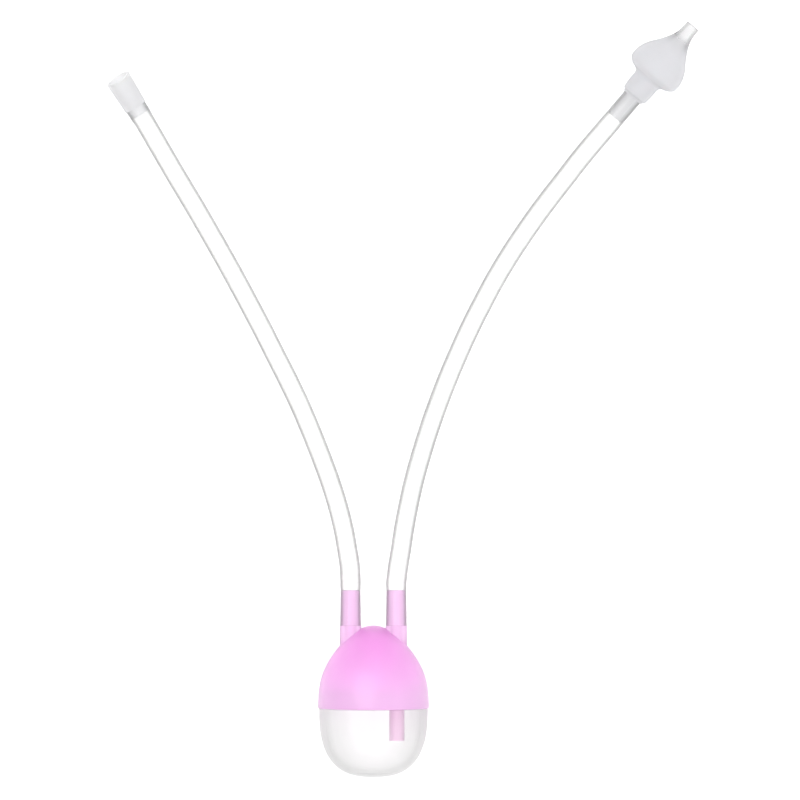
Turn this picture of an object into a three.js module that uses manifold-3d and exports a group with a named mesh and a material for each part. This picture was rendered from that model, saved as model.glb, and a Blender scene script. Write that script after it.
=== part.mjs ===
// Mouth-suction nasal aspirator for babies, as it lies on a table.
//
// An egg-shaped bottle (pink cap, clear collection cup) lies on its side along Y.
// Two soft clear hoses leave the cap's spigots in a V: one ends in a mouthpiece,
// the other in an adapter that carries a soft hollow nose tip.
//
// Units are millimetres, +Z is up and the table is z = 0. The bottle is drawn in its
// own frame: its axis is Y, and the joint between cap and cup is the plane y = 0.
// The exported group is moved so that its origin is under the middle of the rigid pieces.

import * as THREE from "three";
import { mergeVertices } from "three/addons/utils/BufferGeometryUtils.js";
import Module from "manifold-3d";

const wasm = await Module();
wasm.setup();

// ---------------------------------------------------------------- driving dimensions

const BODY_R = 21.5; // cap radius at the joint between cap and cup
const CUP_R = 21.15; // the cup is a little narrower there
const CAP_H = 32.1; // joint to the top of the dome
const CUP_H = 26.6; // joint to the flat base of the cup
const JOINT_GAP = 0.3; // visible line between cap and cup
const CAP_WALL = 1.7;

const SKIRT_BORE_R = 19.7; // cap's bore, which takes the cup's neck
const SKIRT_H = 7.2;
const NECK_R = 19.4;
const NECK_BORE_R = 17.8;
const NECK_H = 6.5;
const CUP_WALL = 1.8;

const SEAL_Y = 3.4; // middle of the seal ring's groove
const SEAL_GROOVE_H = 1.8;
const SEAL_GROOVE_R = 18.6;

const SPIGOT_X = 8.85; // either side of the bottle's axis
const SPIGOT_TOP = 45.8;
const SPIGOT_ROOT_R = 4.3; // collar that the hose stops against
const SPIGOT_ROOT_TOP = 32.1;
const SPIGOT_BASE_R = 3.4;
const SPIGOT_TIP_R = 3.2;
const BORE_R = 1.9; // air way through spigots, adapter and inner tubes

const TUBE_R = 2.85; // tubes inside the cap
const DIP_TUBE_END = -12.4; // reaches into the cup
const STUB_END = 17; // short tube under the mouth-side spigot
const TUBE_TOP = 30.5; // both tubes end inside the dome's wall

const HOSE_R = 4;
const HOSE_BORE_R = 3.2;
const FIT_GAP = 0.15; // radial gap of each push fit
const FACE_GAP = 0.3; // gap where two pieces meet end to end
const HOSE_STRETCH_WALL = 0.75; // hose wall where it is stretched over a spigot or stem
const SPIGOT_SLEEVE_END = 49; // the hose is straight from the spigot's root to here
const SLEEVE_NECK = 3; // length over which a stretched hose narrows again
const SLEEVE_OVERLAP = 0.5; // how far a straight end runs into the bent tube

const ADAPTER_STEM = 10.5; // into the hose
const ADAPTER_STEM_R = 3.2;
const ADAPTER_COLLAR = 1;
const ADAPTER_COLLAR_R = 4.4;
const ADAPTER_BOSS = 8.6; // into the nose tip
const ADAPTER_BOSS_R = 3.6;

const TIP_LENGTH = 35.4;
const TIP_RIM_R = 2.75;
const TIP_RIM_BORE_R = 1.7;
const TIP_BULB_R = 11.1;
const TIP_BULB_AT = 12.6; // widest place of the bulb, from the neck's end
const TIP_HEADING = 40.5; // degrees, turned from +Y towards +X
const TIP_RISE = 5; // degrees above the table
const TIP_NECK_XY = [101.3, 238];

const MOUTH_LENGTH = 13;
const MOUTH_ROOT_R = 4.45;
const MOUTH_LIP_R = 5;
const MOUTH_LIP_BORE_R = 4.05;
const MOUTH_STEM = 3.4;
const MOUTH_STEM_R = 3.5;
const MOUTH_STEM_BORE_R = 2.1;
const MOUTH_LIP_SLANT = 14; // degrees that the lip is cut back on top
const MOUTH_HEADING = -32;
const MOUTH_RISE = 4;
const MOUTH_ROOT = [-92.6, 233.5, 5];

const BOTTLE_SIDES = 36;
const TIP_SIDES = 24;
const SMALL_SIDES = 16;
const HOSE_SIDES = 12;
const HOSE_STEPS = 18;
const DOME_STEPS = 6; // in each of the two parts of its outline
const CUP_STEPS = 10;

// Middle line of each hose between its straight ends, in the bottle's frame.
// It leaves the spigot level, droops to the table and lies on it.
const MOUTH_HOSE_ROUTE = [
  [-9.15, 55, 21.3],
  [-10.05, 61, 20.6],
  [-11.6, 69.5, 18.9],
  [-14.0, 79, 16.6],
  [-17.05, 88.5, 13.7],
  [-20.6, 98, 10.8],
  [-24.6, 108, 8.1],
  [-28.9, 118, 6.0],
  [-33.7, 128, 4.7],
  [-38.5, 137.5, 4.2],
  [-43.3, 147, 4.05],
  [-48.3, 156.5, 4.05],
  [-53.65, 166.5, 4.05],
  [-58.9, 176, 4.05],
  [-64.3, 185.5, 4.05],
  [-69.8, 195, 4.05],
  [-75.5, 204.5, 4.1],
  [-81.35, 214.5, 4.2],
];
const NOSE_HOSE_ROUTE = [
  [9.6, 55, 21.3],
  [10.6, 61, 20.6],
  [11.9, 69.5, 18.9],
  [13.7, 79, 16.6],
  [15.85, 88.5, 13.7],
  [18.5, 98, 10.8],
  [21.6, 108, 8.1],
  [25.1, 118, 6.0],
  [28.95, 128, 4.7],
  [33.0, 137.5, 4.2],
  [37.3, 147, 4.05],
  [42.05, 156.5, 4.05],
  [47.4, 166.5, 4.05],
  [53.1, 176, 4.15],
  [59.4, 185.5, 4.4],
  [66.2, 195, 5.0],
  [73.7, 204.7, 6.0],
  [81.5, 214.7, 7.2],
];

// ---------------------------------------------------------------- solids

// A closed geometry as a solid that can be joined and cut.
function solid(geometry, matrix) {
  geometry.deleteAttribute("normal");
  geometry.deleteAttribute("uv");
  if (matrix) geometry.applyMatrix4(matrix);
  const merged = mergeVertices(geometry, 1e-4);
  const corners = merged.index.array;
  const faces = [];
  for (let i = 0; i < corners.length; i += 3) {
    const [a, b, c] = corners.slice(i, i + 3);
    if (a !== b && b !== c && c !== a) faces.push(a, b, c);
  }
  return new wasm.Manifold(
    new wasm.Mesh({
      numProp: 3,
      vertProperties: new Float32Array(merged.attributes.position.array),
      triVerts: new Uint32Array(faces),
    }),
  );
}

function geometryOf(piece) {
  const { vertProperties, triVerts } = piece.getMesh();
  const geometry = new THREE.BufferGeometry();
  geometry.setAttribute("position", new THREE.BufferAttribute(vertProperties, 3));
  geometry.setIndex(new THREE.BufferAttribute(triVerts, 1));
  geometry.computeVertexNormals();
  return geometry;
}

// Solid of revolution about Y. The profile runs up the outside: [radius, y] pairs or points.
function turned(profile, sides, matrix) {
  const points = profile.map((p) => (p.isVector2 ? p : new THREE.Vector2(p[0], p[1])));
  return solid(new THREE.LatheGeometry(points, sides), matrix);
}

// A plain rod about Y, used for bores.
function rod(radius, low, high, sides, matrix) {
  return turned([[0, low], [radius, low], [radius, high], [0, high]], sides, matrix);
}

// A tube about Y whose outside and bore are given as [radius, y] lists, both from low to high.
function tube(outside, bore, sides, matrix) {
  const profile = [...outside, ...[...bore].reverse(), outside[0]];
  return turned(profile, sides, matrix);
}

function sideways(x) {
  return new THREE.Matrix4().makeTranslation(x, 0, 0);
}

// ---------------------------------------------------------------- bottle

// The dome's outline: a steep lower part up to the shoulder, and a flatter crown on top.
const shoulder = new THREE.Vector2(16.3, 20.07);
const domeCurves = [
  new THREE.CubicBezierCurve(
    new THREE.Vector2(BODY_R, 0),
    new THREE.Vector2(BODY_R, 10.5),
    new THREE.Vector2(19.63, 15.08),
    shoulder,
  ),
  new THREE.CubicBezierCurve(
    shoulder,
    new THREE.Vector2(13.75, 23.9),
    new THREE.Vector2(7.5, CAP_H),
    new THREE.Vector2(0, CAP_H),
  ),
];

// Points up the dome from the joint to the apex, moved inwards by a wall of even thickness.
function domePoints(wall) {
  const points = [];
  for (const [part, curve] of domeCurves.entries()) {
    for (let i = part; i <= DOME_STEPS; i += 1) {
      const u = i / DOME_STEPS;
      const tangent = curve.getTangent(u);
      const inwards = new THREE.Vector2(-tangent.y, tangent.x).multiplyScalar(wall);
      points.push(curve.getPoint(u).add(inwards));
    }
  }
  points[points.length - 1].x = 0; // the apex stays on the axis
  return points;
}

function makeCap() {
  const dome = turned([[0, 0], ...domePoints(0)], BOTTLE_SIDES);
  const vault = domePoints(CAP_WALL).filter((point) => point.y > SKIRT_H + 1);
  const cavity = turned(
    [[0, -1], [SKIRT_BORE_R, -1], [SKIRT_BORE_R, SKIRT_H], [vault[0].x, SKIRT_H], ...vault],
    BOTTLE_SIDES,
  );
  let cap = dome;
  for (const x of [-SPIGOT_X, SPIGOT_X]) {
    const spigot = turned(
      [
        [0, 15],
        [SPIGOT_ROOT_R, 15],
        [SPIGOT_ROOT_R, SPIGOT_ROOT_TOP],
        [SPIGOT_BASE_R, SPIGOT_ROOT_TOP],
        [SPIGOT_TIP_R, SPIGOT_TOP - 0.6],
        [SPIGOT_TIP_R - 0.4, SPIGOT_TOP],
        [0, SPIGOT_TOP],
      ],
      SMALL_SIDES,
      sideways(x),
    );
    cap = cap.add(spigot);
  }
  cap = cap.subtract(cavity);
  cap = cap.add(rod(TUBE_R, STUB_END, TUBE_TOP, SMALL_SIDES, sideways(-SPIGOT_X)));
  cap = cap.add(rod(TUBE_R, DIP_TUBE_END, TUBE_TOP, SMALL_SIDES, sideways(SPIGOT_X)));
  cap = cap.subtract(rod(BORE_R, STUB_END - 1, SPIGOT_TOP + 1, SMALL_SIDES, sideways(-SPIGOT_X)));
  cap = cap.subtract(rod(BORE_R, DIP_TUBE_END - 1, SPIGOT_TOP + 1, SMALL_SIDES, sideways(SPIGOT_X)));
  return geometryOf(cap);
}

// The cup's outside and its hollow are superellipses. The outside stops at a small flat base,
// and the hollow is as wide as the neck's bore, so that the core of a mould could be drawn out.
const CUP_POWER = 2.65;
const CUP_FULL_DEPTH = 26.75;
const HOLLOW_POWER = 3.2;

function superellipse(radius, depth, fullDepth, power) {
  const share = Math.min(1, (depth / fullDepth) ** power);
  return radius * (1 - share) ** (1 / power);
}

function makeCup() {
  // Even steps of angle, so that the points crowd together where the base turns in.
  const depthAt = (i, deepest) => deepest * Math.sin(((i / CUP_STEPS) * Math.PI) / 2);
  const floor = CUP_H - CUP_WALL;
  const outside = [];
  const inside = [];
  for (let i = CUP_STEPS; i >= 0; i -= 1) {
    const depth = Math.max(JOINT_GAP, depthAt(i, CUP_H));
    outside.push([superellipse(CUP_R, depth, CUP_FULL_DEPTH, CUP_POWER), -depth]);
  }
  for (let i = 1; i < CUP_STEPS; i += 1) {
    const depth = depthAt(i, floor);
    inside.push([superellipse(NECK_BORE_R, depth, floor, HOLLOW_POWER), -depth]);
  }
  const grooveLow = SEAL_Y - SEAL_GROOVE_H / 2;
  const grooveHigh = SEAL_Y + SEAL_GROOVE_H / 2;
  return geometryOf(
    turned(
      [
        [0, -CUP_H],
        ...outside,
        [NECK_R, -JOINT_GAP],
        [NECK_R, grooveLow],
        [SEAL_GROOVE_R, grooveLow],
        [SEAL_GROOVE_R, grooveHigh],
        [NECK_R, grooveHigh],
        [NECK_R, NECK_H - 0.5],
        [NECK_R - 0.4, NECK_H],
        [NECK_BORE_R, NECK_H],
        ...inside,
        [0, -floor],
      ],
      BOTTLE_SIDES,
    ),
  );
}

function makeSealRing() {
  const middle = (SEAL_GROOVE_R + SKIRT_BORE_R) / 2;
  const halfWidth = (SKIRT_BORE_R - SEAL_GROOVE_R) / 2 - 0.12;
  const halfHeight = SEAL_GROOVE_H / 2 - 0.2;
  const sides = 6;
  const profile = [];
  for (let i = 0; i < sides; i += 1) {
    const angle = ((i + 0.5) / sides) * 2 * Math.PI;
    profile.push([middle + halfWidth * Math.cos(angle), SEAL_Y + halfHeight * Math.sin(angle)]);
  }
  return geometryOf(turned([...profile, profile[0]], BOTTLE_SIDES));
}

// ---------------------------------------------------------------- hose ends

// Unit vector of a piece that points along its own Y after a heading and a rise in degrees.
function direction(heading, rise) {
  const turn = THREE.MathUtils.degToRad(heading);
  const lift = THREE.MathUtils.degToRad(rise);
  return new THREE.Vector3(
    Math.cos(lift) * Math.sin(turn),
    Math.cos(lift) * Math.cos(turn),
    Math.sin(lift),
  );
}

const tipAlong = direction(TIP_HEADING, TIP_RISE);
const tipRise = THREE.MathUtils.degToRad(TIP_RISE);
const BULB_CLEARANCE = 0.05;
// The bulb rests on the table, which sets the height of the neck's end.
const tipNeck = new THREE.Vector3(
  TIP_NECK_XY[0],
  TIP_NECK_XY[1],
  TIP_BULB_R * Math.cos(tipRise) - TIP_BULB_AT * Math.sin(tipRise) + BULB_CLEARANCE,
);
const mouthAlong = direction(MOUTH_HEADING, MOUTH_RISE);
const mouthRoot = new THREE.Vector3(...MOUTH_ROOT);

// Matrix that puts a piece drawn along Y at a place, pointing along a direction.
function placed(place, along) {
  const turn = new THREE.Quaternion().setFromUnitVectors(new THREE.Vector3(0, 1, 0), along);
  return new THREE.Matrix4().compose(place, turn, new THREE.Vector3(1, 1, 1));
}

function makeAdapter() {
  const stemEnd = -ADAPTER_COLLAR - ADAPTER_STEM;
  return geometryOf(
    tube(
      [
        [ADAPTER_STEM_R - 0.35, stemEnd],
        [ADAPTER_STEM_R, stemEnd + 0.8],
        [ADAPTER_STEM_R, -ADAPTER_COLLAR],
        [ADAPTER_COLLAR_R, -ADAPTER_COLLAR],
        [ADAPTER_COLLAR_R, 0],
        [ADAPTER_BOSS_R, 0],
        [ADAPTER_BOSS_R, ADAPTER_BOSS - 0.7],
        [ADAPTER_BOSS_R - 0.4, ADAPTER_BOSS],
      ],
      [[BORE_R, stemEnd], [BORE_R, ADAPTER_BOSS]],
      SMALL_SIDES,
    ),
  );
}

// Outside of the nose tip from the crease at the neck to the spout's rim: [radius, along].
const TIP_BULB = [
  [6.1, 8.3],
  [8.9, 9.5],
  [10.6, 10.9],
  [TIP_BULB_R, TIP_BULB_AT],
  [10.95, 15.2],
  [10.2, 17.6],
  [8.9, 20.1],
  [7.1, 22.6],
  [5.4, 25.2],
  [3.85, 28.2],
  [3.05, 30.8],
  [2.8, 33],
  [TIP_RIM_R, TIP_LENGTH],
];
// Its hollow, from the neck's bore to the spout's rim.
const TIP_HOLLOW = [
  [ADAPTER_BOSS_R + FIT_GAP, 9.4],
  [6.4, 10.5],
  [8.7, 12.0],
  [9.2, 14.2],
  [8.5, 17.0],
  [6.9, 19.9],
  [5.1, 22.4],
  [3.5, 25.2],
  [2.3, 28.2],
  [1.8, 30.8],
  [TIP_RIM_BORE_R, TIP_LENGTH],
];

function throughPoints(list, steps) {
  const curve = new THREE.SplineCurve(list.map((p) => new THREE.Vector2(p[0], p[1])));
  return curve.getPoints(steps).map((p) => [p.x, p.y]);
}

function makeNoseTip() {
  const neckEnd = FACE_GAP;
  return geometryOf(
    tube(
      [
        [4.8, neckEnd],
        [5.3, neckEnd + 0.4],
        [5.6, 3.6],
        [5.6, 6.6],
        [5.75, 7.6],
        ...throughPoints(TIP_BULB, 15),
      ],
      [[ADAPTER_BOSS_R + FIT_GAP, neckEnd], ...throughPoints(TIP_HOLLOW, 12)],
      TIP_SIDES,
    ),
  );
}

function makeMouthpiece() {
  const overrun = 3;
  const body = tube(
    [
      [MOUTH_STEM_R - 0.35, -MOUTH_STEM],
      [MOUTH_STEM_R, -MOUTH_STEM + 0.8],
      [MOUTH_STEM_R, 0],
      [MOUTH_ROOT_R - 0.4, 0],
      [MOUTH_ROOT_R, 0.4],
      [MOUTH_LIP_R, MOUTH_LENGTH],
      [MOUTH_LIP_R, MOUTH_LENGTH + overrun],
    ],
    [
      [MOUTH_STEM_BORE_R, -MOUTH_STEM],
      [MOUTH_STEM_BORE_R, 0.6],
      [2.9, 2.4],
      [MOUTH_LIP_BORE_R, MOUTH_LENGTH],
      [MOUTH_LIP_BORE_R, MOUTH_LENGTH + overrun],
    ],
    TIP_SIDES,
  );
  // Everything past the slanted lip is cut away. The lip leans back on top.
  const block = 40;
  const slant = new THREE.Matrix4().makeRotationX(THREE.MathUtils.degToRad(MOUTH_LIP_SLANT));
  const cut = new THREE.Matrix4()
    .makeTranslation(0, MOUTH_LENGTH, 0)
    .multiply(slant)
    .multiply(new THREE.Matrix4().makeTranslation(0, block / 2, 0));
  return geometryOf(body.subtract(solid(new THREE.BoxGeometry(block, block, block), cut)));
}

// ---------------------------------------------------------------- hoses

// Straight end of a hose, stretched over something of the given radii, drawn along Y from
// its cut end. It narrows to the hose's own size behind what it is pushed over.
function sleeve(length, coverEndR, coverInR, matrix) {
  const narrowAt = length - SLEEVE_NECK;
  const bore = [
    [coverEndR + FIT_GAP, 0],
    [coverInR + FIT_GAP, narrowAt],
    [HOSE_BORE_R, length],
    [HOSE_BORE_R, length + SLEEVE_OVERLAP],
  ];
  const outside = [
    [coverEndR + FIT_GAP + HOSE_STRETCH_WALL, 0],
    [coverInR + FIT_GAP + HOSE_STRETCH_WALL, narrowAt],
    [HOSE_R, length],
    [HOSE_R, length + SLEEVE_OVERLAP],
  ];
  return tube(outside, bore, SMALL_SIDES, matrix);
}

// Bent tube along a route whose ends are straight for a short way.
function bentTube(points) {
  const path = new THREE.CatmullRomCurve3(points, false, "centripetal");
  const section = new THREE.Shape().absarc(0, 0, HOSE_R, 0, 2 * Math.PI);
  section.holes.push(new THREE.Path().absarc(0, 0, HOSE_BORE_R, 0, 2 * Math.PI, true));
  return solid(
    new THREE.ExtrudeGeometry(section, {
      steps: HOSE_STEPS,
      curveSegments: HOSE_SIDES / 2, // an arc of a shape gets twice as many
      extrudePath: path,
    }),
  );
}

function makeHose(side, route, farEnd, farAlong, farSleeve, farStemR) {
  const spigotX = side * SPIGOT_X;
  const start = new THREE.Vector3(spigotX, SPIGOT_SLEEVE_END, BODY_R);
  const end = farEnd.clone().addScaledVector(farAlong, -farSleeve);
  const middle = bentTube([start, ...route.map((p) => new THREE.Vector3(...p)), end]);

  const nearLow = SPIGOT_ROOT_TOP + FACE_GAP;
  const near = sleeve(
    SPIGOT_SLEEVE_END - nearLow,
    SPIGOT_BASE_R,
    SPIGOT_TIP_R,
    new THREE.Matrix4().makeTranslation(spigotX, nearLow, BODY_R),
  );
  const far = sleeve(farSleeve, farStemR, farStemR, placed(farEnd, farAlong.clone().negate()));
  return geometryOf(middle.add(near).add(far));
}

function makeNoseHose() {
  const hoseEnd = tipNeck.clone().addScaledVector(tipAlong, -ADAPTER_COLLAR - FACE_GAP);
  return makeHose(1, NOSE_HOSE_ROUTE, hoseEnd, tipAlong, ADAPTER_STEM + SLEEVE_NECK, ADAPTER_STEM_R);
}

function makeMouthHose() {
  const hoseEnd = mouthRoot.clone().addScaledVector(mouthAlong, -FACE_GAP);
  return makeHose(-1, MOUTH_HOSE_ROUTE, hoseEnd, mouthAlong, MOUTH_STEM + SLEEVE_NECK, MOUTH_STEM_R);
}

// ---------------------------------------------------------------- scene graph

const finishes = {
  pinkPlastic: { color: 0xf7a9ea, roughness: 0.35, metalness: 0, transparent: true, opacity: 0.8 },
  clearPlastic: { color: 0xf2f3f4, roughness: 0.12, metalness: 0, transparent: true, opacity: 0.4 },
  clearHose: { color: 0xf4f4f2, roughness: 0.2, metalness: 0, transparent: true, opacity: 0.4 },
  frostedPlastic: { color: 0xe6e6ea, roughness: 0.5, metalness: 0 },
  softSilicone: { color: 0xe3e2e8, roughness: 0.6, metalness: 0 },
  sealSilicone: { color: 0xeeeeee, roughness: 0.6, metalness: 0 },
};

function piece(name, geometry, finish) {
  const mesh = new THREE.Mesh(geometry, new THREE.MeshStandardMaterial(finishes[finish]));
  mesh.name = name;
  return mesh;
}

const bottle = new THREE.Group();
bottle.position.z = BODY_R;
bottle.add(
  piece("cap", makeCap(), "pinkPlastic"),
  piece("collection_cup", makeCup(), "clearPlastic"),
  piece("seal_ring", makeSealRing(), "sealSilicone"),
);

function endGroup(place, along, ...pieces) {
  const group = new THREE.Group();
  group.applyMatrix4(placed(place, along));
  group.add(...pieces);
  return group;
}

const noseEnd = endGroup(
  tipNeck,
  tipAlong,
  piece("nose_tip_adapter", makeAdapter(), "frostedPlastic"),
  piece("nose_tip", makeNoseTip(), "softSilicone"),
);
const mouthEnd = endGroup(mouthRoot, mouthAlong, piece("mouthpiece", makeMouthpiece(), "frostedPlastic"));

const rigid = new THREE.Group();
rigid.add(bottle, noseEnd, mouthEnd);

const aspirator = new THREE.Group();
aspirator.add(
  rigid,
  piece("nose_hose", makeNoseHose(), "clearHose"),
  piece("mouth_hose", makeMouthHose(), "clearHose"),
);

// The origin goes under the middle of the rigid pieces, on the table.
rigid.updateMatrixWorld(true);
const rigidBox = new THREE.Box3().setFromObject(rigid, true);
const middle = rigidBox.getCenter(new THREE.Vector3());
aspirator.position.set(-middle.x, -middle.y, -rigidBox.min.z);
aspirator.updateMatrixWorld(true);

export default aspirator;
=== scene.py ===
# %% [markdown]
# # A nasal aspirator for babies, lying on a table
#
# A parent sucks on the mouthpiece, a soft tip sits in the baby's nostril, and what comes
# out is caught in a small egg-shaped bottle between the two hoses. Every solid part was
# designed in CAD first. This file starts from that fixed frame, and gives each part the
# fine surface and the finish that the real one has: tinted plastic, clear plastic, soft
# clear hose, frosted plastic and milky silicone.
#
# Almost everything here is seen through. That makes two things matter more than usual. Each
# wall needs its thickness, with an outside and an inside. And the grey that clear plastic
# shows at its edges needs care, because it is all that tells a clear wall from the table.

# %% The frame
import math

import bmesh
import bpy
from mathutils import Matrix, Vector
from mathutils.geometry import interpolate_bezier


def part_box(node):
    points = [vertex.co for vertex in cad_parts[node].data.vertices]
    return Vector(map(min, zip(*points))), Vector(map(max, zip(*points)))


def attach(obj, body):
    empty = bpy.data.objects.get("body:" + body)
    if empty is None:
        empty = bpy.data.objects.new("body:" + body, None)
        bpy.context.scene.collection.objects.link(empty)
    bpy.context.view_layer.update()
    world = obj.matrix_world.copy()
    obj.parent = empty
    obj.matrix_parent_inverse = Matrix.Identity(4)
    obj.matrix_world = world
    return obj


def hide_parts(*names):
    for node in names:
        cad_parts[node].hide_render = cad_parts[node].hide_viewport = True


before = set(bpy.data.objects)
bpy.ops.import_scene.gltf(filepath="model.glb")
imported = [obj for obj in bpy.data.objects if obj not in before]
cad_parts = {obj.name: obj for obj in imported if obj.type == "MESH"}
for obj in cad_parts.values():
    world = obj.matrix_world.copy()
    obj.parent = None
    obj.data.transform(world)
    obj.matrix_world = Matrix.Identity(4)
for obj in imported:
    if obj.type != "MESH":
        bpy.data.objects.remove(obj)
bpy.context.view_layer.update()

MM = 0.001
print("nodes:", sorted(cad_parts))

# %% Where the bottle lies
# The bottle lies on its side. Its own frame has the axis along Y, and y = 0 at the joint
# between cap and cup.
BODY_R = 21.5 * MM
NECK_TOP = 6.5 * MM
cup_low, cup_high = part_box("collection_cup")
bottle_at = Vector(((cup_low.x + cup_high.x) / 2, cup_high.y - NECK_TOP, BODY_R))
bottle_place = Matrix.Translation(bottle_at)
print("middle of the joint, mm:", [round(v / MM, 2) for v in bottle_at])

# %% [markdown]
# ## Camera and light
#
# The object is looked at from straight above, from more than three metres away, so that
# there is next to no perspective. The table is white, with a little light of its own from
# below, as a light table has, so that the see-through parts are lit from both sides. A big
# soft light hangs overhead and a little to the left. The world gets a little darker towards
# the horizon, because a studio that is equally white all round makes the edges of clear
# plastic vanish.

# %% Camera
CAMERA_X, CAMERA_Y, CAMERA_HEIGHT = -0.00096, -0.00053, 3.4
VIEW_WIDTH = 0.312
SENSOR = 36.0

camera_data = bpy.data.cameras.new("overhead")
camera_data.sensor_width = SENSOR
camera_data.lens = SENSOR * CAMERA_HEIGHT / VIEW_WIDTH
camera_data.clip_start = 0.01
camera = bpy.data.objects.new("overhead", camera_data)
camera.location = (CAMERA_X, CAMERA_Y, CAMERA_HEIGHT)
bpy.context.collection.objects.link(camera)
bpy.context.scene.camera = camera
print("lens, mm:", round(camera_data.lens))

# %% Soft studio
HORIZON_GREY, ZENITH_GREY, ZENITH_FROM = 0.85, 1.0, 0.6
STUDIO_LIGHT = 0.80

scene = bpy.context.scene
scene.view_settings.view_transform = "Standard"

world = bpy.data.worlds.new("studio")
world.use_nodes = True
sky = world.node_tree
sky.nodes.clear()
direction = sky.nodes.new("ShaderNodeTexCoord")
split = sky.nodes.new("ShaderNodeSeparateXYZ")
ramp = sky.nodes.new("ShaderNodeValToRGB")
background = sky.nodes.new("ShaderNodeBackground")
sky_out = sky.nodes.new("ShaderNodeOutputWorld")
sky.links.new(direction.outputs["Generated"], split.inputs[0])
sky.links.new(split.outputs["Z"], ramp.inputs["Fac"])
sky.links.new(ramp.outputs["Color"], background.inputs["Color"])
sky.links.new(background.outputs[0], sky_out.inputs["Surface"])
ramp.color_ramp.elements[0].position = 0.0
ramp.color_ramp.elements[0].color = (HORIZON_GREY, HORIZON_GREY, HORIZON_GREY, 1)
ramp.color_ramp.elements[1].position = ZENITH_FROM
ramp.color_ramp.elements[1].color = (ZENITH_GREY, ZENITH_GREY, ZENITH_GREY, 1)
background.inputs["Strength"].default_value = STUDIO_LIGHT
scene.world = world


def softbox(name, place, aim, size, watts):
    """A square area light at a place, turned towards a point."""
    data = bpy.data.lights.new(name, "AREA")
    data.size = size
    data.energy = watts
    light = bpy.data.objects.new(name, data)
    light.location = place
    light.rotation_mode = "QUATERNION"
    light.rotation_quaternion = (Vector(aim) - Vector(place)).to_track_quat("-Z", "Y")
    bpy.context.collection.objects.link(light)
    return light


softbox("overhead_left", place=(-0.5, 0.35, 1.5), aim=(0, 0, 0), size=1.2, watts=7)
softbox("low_right", place=(1.1, -0.5, 0.8), aim=(0, 0, 0), size=0.7, watts=3)

# %% Table
FLOOR_HALF, FLOOR_DROP = 3.0, 0.0002
TABLE_GREY, TABLE_GLOW = 0.93, 0.30

floor_bm = bmesh.new()
bmesh.ops.create_grid(floor_bm, x_segments=1, y_segments=1, size=FLOOR_HALF)
floor_mesh = bpy.data.meshes.new("table")
floor_bm.to_mesh(floor_mesh)
floor_bm.free()
table = bpy.data.objects.new("table", floor_mesh)
bpy.context.collection.objects.link(table)
table.location.z = -FLOOR_DROP
white = bpy.data.materials.new("white_table")
white.use_nodes = True
white_shader = white.node_tree.nodes["Principled BSDF"]
white_shader.inputs["Base Color"].default_value = (TABLE_GREY, TABLE_GREY, TABLE_GREY, 1)
white_shader.inputs["Roughness"].default_value = 0.9
white_shader.inputs["Emission Color"].default_value = (1, 1, 1, 1)
white_shader.inputs["Emission Strength"].default_value = TABLE_GLOW
floor_mesh.materials.append(white)

# %% [markdown]
# ## Directions of the two ends
#
# The nose tip and the mouthpiece are drawn along their own Y axis and then turned to where
# they lie. A heading turns from +Y towards +X, and a rise lifts the far end off the table.

# %% Places of the ends
def pointing(place, heading, rise):
    """The matrix that puts a piece drawn along Y at a place, with a heading and a rise."""
    turn, lift = math.radians(heading), math.radians(rise)
    along = Vector((math.cos(lift) * math.sin(turn), math.cos(lift) * math.cos(turn), math.sin(lift)))
    rotation = Vector((0, 1, 0)).rotation_difference(along)
    return Matrix.Translation(place) @ rotation.to_matrix().to_4x4(), along


def from_bottle(x, y, z):
    """A point given in millimetres from the bottle's joint, with its height above the table."""
    return Vector((bottle_at.x + x * MM, bottle_at.y + y * MM, z * MM))


TIP_X, TIP_Y, TIP_HEADING, TIP_RISE = 101.3, 238, 40.5, 5.0
MOUTH_X, MOUTH_Y, MOUTH_HEIGHT, MOUTH_HEADING, MOUTH_RISE = -92.6, 233.5, 5, -32, 4
BULB_R, BULB_AT, BULB_CLEARANCE = 11.1, 12.6, 0.05
tip_rise = math.radians(TIP_RISE)
tip_height = BULB_R * math.cos(tip_rise) - BULB_AT * math.sin(tip_rise) + BULB_CLEARANCE
tip_place, tip_along = pointing(from_bottle(TIP_X, TIP_Y, tip_height), TIP_HEADING, TIP_RISE)
mouth_place, mouth_along = pointing(
    from_bottle(MOUTH_X, MOUTH_Y, MOUTH_HEIGHT), MOUTH_HEADING, MOUTH_RISE
)
print("tip and mouthpiece rise from the table by, mm:", round(tip_height, 2), MOUTH_HEIGHT)

# %% [markdown]
# ## Finishes
#
# All finishes are see-through to some degree, so they share one recipe. A Principled shader
# does the bending and the tint. A Transparent shader stands in for it when a ray on its way
# to a lamp passes through, because real clear plastic throws a light shadow and a renderer
# without caustics would make it dark. On top of that, each finish gets what its making
# leaves behind: a slow wave in the wall of a moulding, a fine grain on a frosted surface, a
# slight cloudiness along a hose. The index of refraction of the clear finishes is kept low,
# and their grey edges are painted shade: a colour that depends on the angle of view. The
# pink, frosted and milky finishes get painted shade at their edges in the same way.

# %% Shared recipe
def feed(material, source, target):
    """A link in a material's node tree."""
    material.node_tree.links.new(source, target)


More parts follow.
